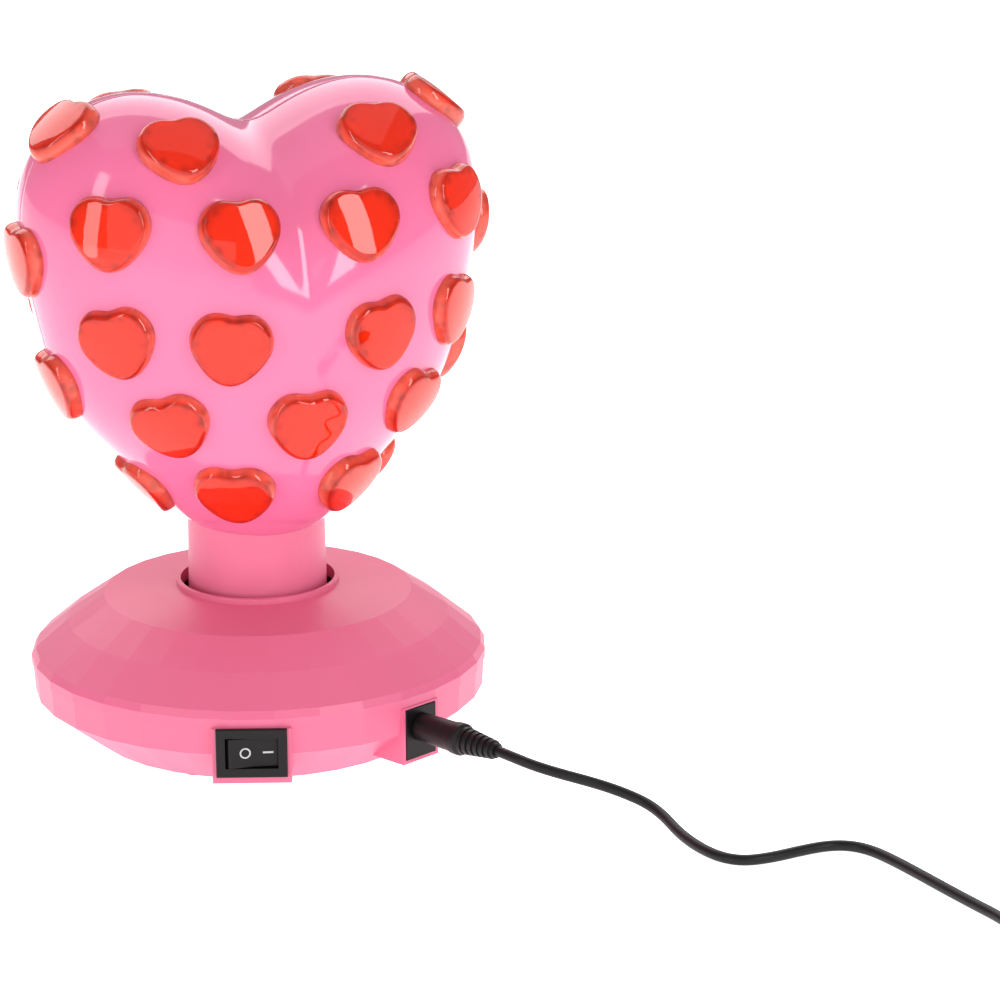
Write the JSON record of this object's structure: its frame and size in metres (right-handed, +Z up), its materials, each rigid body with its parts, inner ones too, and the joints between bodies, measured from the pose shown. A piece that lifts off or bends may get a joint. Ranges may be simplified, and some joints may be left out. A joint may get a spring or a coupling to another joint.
{
  "type": "rotating heart lamp",
  "caption": "Table lamp: a glossy pink heart shell set with red heart-shaped lenses turns on a neck over a round faceted base with a rocker switch, power jack, lead and mains adapter.",
  "frame": {"origin": "on the turning axis of the head, at the surface the four feet stand on", "axes": "+Z up along the turning axis, -Y towards the front, where the rocker switch is, +X to the right seen from the front"},
  "size_m": [0.4334, 0.3127, 0.2015],
  "materials": {
    "pink_base": "satin moulded pink",
    "pink_heart": "high gloss pink",
    "lens_red": "translucent red-orange, polished",
    "foot_rubber": "soft matt",
    "screw_steel": "bright zinc",
    "inner_plastic": "natural, as moulded",
    "gear_nylon": "natural nylon",
    "motor_steel": "plated",
    "shaft_steel": "ground",
    "post_aluminium": "plain drawn",
    "board_green": "solder mask",
    "led_lens": "clear dome",
    "wire_red": "soft sleeving",
    "black_plastic": "fine satin",
    "terminal_brass": "plain",
    "cord_black": "satin",
    "plug_nickel": "nickel plated",
    "tie_black": "satin",
    "adapter_black": "fine spark texture"
  },
  "bodies": {
    "base": {"lower_shell": "pink_base", "upper_shell": "pink_base", "rubber_feet": "foot_rubber", "case_screws": "screw_steel", "centre_tower": "inner_plastic", "tower_screws": "screw_steel", "thrust_washer": "gear_nylon", "gear_motor": "motor_steel", "motor_screws": "screw_steel", "lamp_post": "post_aluminium", "led_heat_sink": "post_aluminium", "led_board": "board_green", "led_lamps": "led_lens", "lamp_leads": "wire_red", "switch_body": "black_plastic", "switch_terminals": "terminal_brass", "jack_body": "black_plastic", "jack_pin": "terminal_brass", "jack_terminals": "terminal_brass", "switch_lead": "wire_red", "motor_lead": "wire_red", "dc_plug": "cord_black", "dc_plug_barrel": "plug_nickel", "cord_run": "cord_black", "cord_coil": "cord_black", "cord_tail": "cord_black", "coil_tie": "tie_black", "adapter_case": "adapter_black", "adapter_lid": "adapter_black", "adapter_pins": "plug_nickel", "adapter_transformer": "motor_steel", "adapter_relief": "cord_black"},
    "head": {"turntable_gear": "gear_nylon", "neck_tube": "pink_base", "neck_screws": "screw_steel", "heart_front": "pink_heart", "heart_back": "pink_heart", "front_lenses_top": "lens_red", "front_lenses_upper": "lens_red", "front_lenses_middle": "lens_red", "front_lenses_lower": "lens_red", "front_lenses_bottom": "lens_red", "back_lenses_top": "lens_red", "back_lenses_upper": "lens_red", "back_lenses_middle": "lens_red", "back_lenses_lower": "lens_red", "back_lenses_bottom": "lens_red", "side_lenses_left": "lens_red", "side_lenses_right": "lens_red"},
    "motor_output": {"motor_shaft": "shaft_steel", "drive_pinion": "gear_nylon"},
    "rocker": {"rocker": "black_plastic"}
  },
  "joints": [
    {"name": "head_turn", "type": "hinge", "parent": "base", "child": "head", "pos_m": [0, 0, 0.03], "axis": [0, 0, 1], "continuous": true},
    {"name": "pinion_spin", "type": "hinge", "parent": "base", "child": "motor_output", "pos_m": [0, 0.032, 0.03], "axis": [0, 0, 1], "continuous": true},
    {"name": "rocker_tilt", "type": "hinge", "parent": "base", "child": "rocker", "pos_m": [0, -0.0666, 0.0156], "axis": [0, 0, 1], "range_deg": [-16, 0]}
  ],
  "couplings": [
    {"joint": "pinion_spin", "follows": "head_turn", "ratio": -3}
  ]
}
